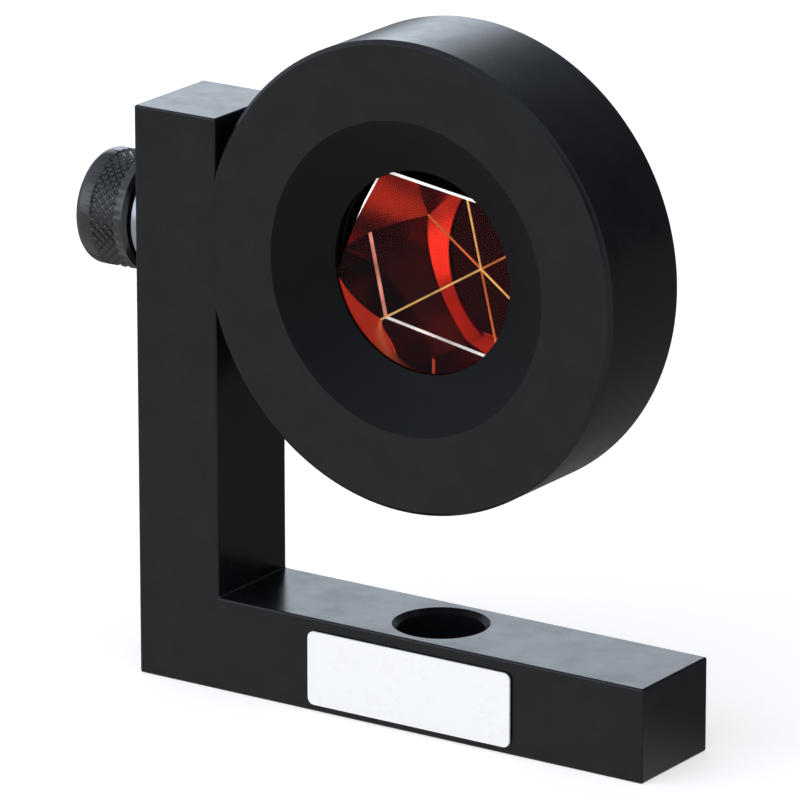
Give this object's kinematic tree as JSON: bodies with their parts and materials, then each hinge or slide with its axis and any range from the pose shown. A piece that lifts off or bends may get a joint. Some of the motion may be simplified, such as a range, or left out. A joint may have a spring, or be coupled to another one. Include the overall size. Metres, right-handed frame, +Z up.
{
  "type": "survey prism",
  "caption": "Corner-cube survey reflector in a round housing that tilts on an L-shaped mounting bar, clamped by a knurled knob; a hole in the bar's base takes the fixing bolt.",
  "frame": {"origin": "on the supporting surface, under the middle of the object's bounding box", "axes": "+Z up, +X along the bar's base away from the upright, -Y the way the prism looks"},
  "size_m": [0.0826, 0.026, 0.086],
  "materials": {
    "black_anodised": "satin black anodised",
    "matt_black": "matt",
    "label": "smooth white film",
    "plastic": "machined acetal",
    "steel": "turned",
    "dark_steel": "black oxide",
    "rubber": "moulded",
    "glass": "polished optical glass",
    "copper": "evaporated copper coat"
  },
  "bodies": {
    "bracket": {"l_bracket": "black_anodised", "label_plate": "label", "pivot_bush": "plastic"},
    "knob_carriage": {"thrust_washer": "black_anodised"},
    "knob": {"clamp_knob": "black_anodised", "clamp_screw": "steel", "knob_cap": "matt_black"},
    "prism_head": {"friction_washer": "matt_black", "thread_insert": "steel", "insert_set_screw": "dark_steel", "prism_housing": "black_anodised", "glass_seal": "rubber", "glass_prism": "glass", "copper_coating": "copper", "prism_pad_1": "rubber", "prism_pad_2": "rubber", "prism_pad_3": "rubber", "rear_seal": "rubber", "rear_cup": "black_anodised", "cup_screw_1": "dark_steel", "cup_screw_2": "dark_steel", "cup_screw_3": "dark_steel", "cup_screw_4": "dark_steel"}
  },
  "joints": [
    {"name": "head_tilt", "type": "hinge", "parent": "bracket", "child": "prism_head", "pos_m": [-0.01795, -0.00505, 0.057], "axis": [1, 0, 0], "continuous": true},
    {"name": "knob_travel", "type": "slide", "parent": "bracket", "child": "knob_carriage", "axis": [-1, 0, 0], "range_m": [0, 0.0016]},
    {"name": "knob_turn", "type": "hinge", "parent": "knob_carriage", "child": "knob", "pos_m": [-0.03695, -0.00505, 0.057], "axis": [-1, 0, 0], "range_deg": [0, 720]}
  ],
  "couplings": [
    {"joint": "knob_travel", "follows": "knob_turn", "m_per_rad": 0.00012732}
  ]
}
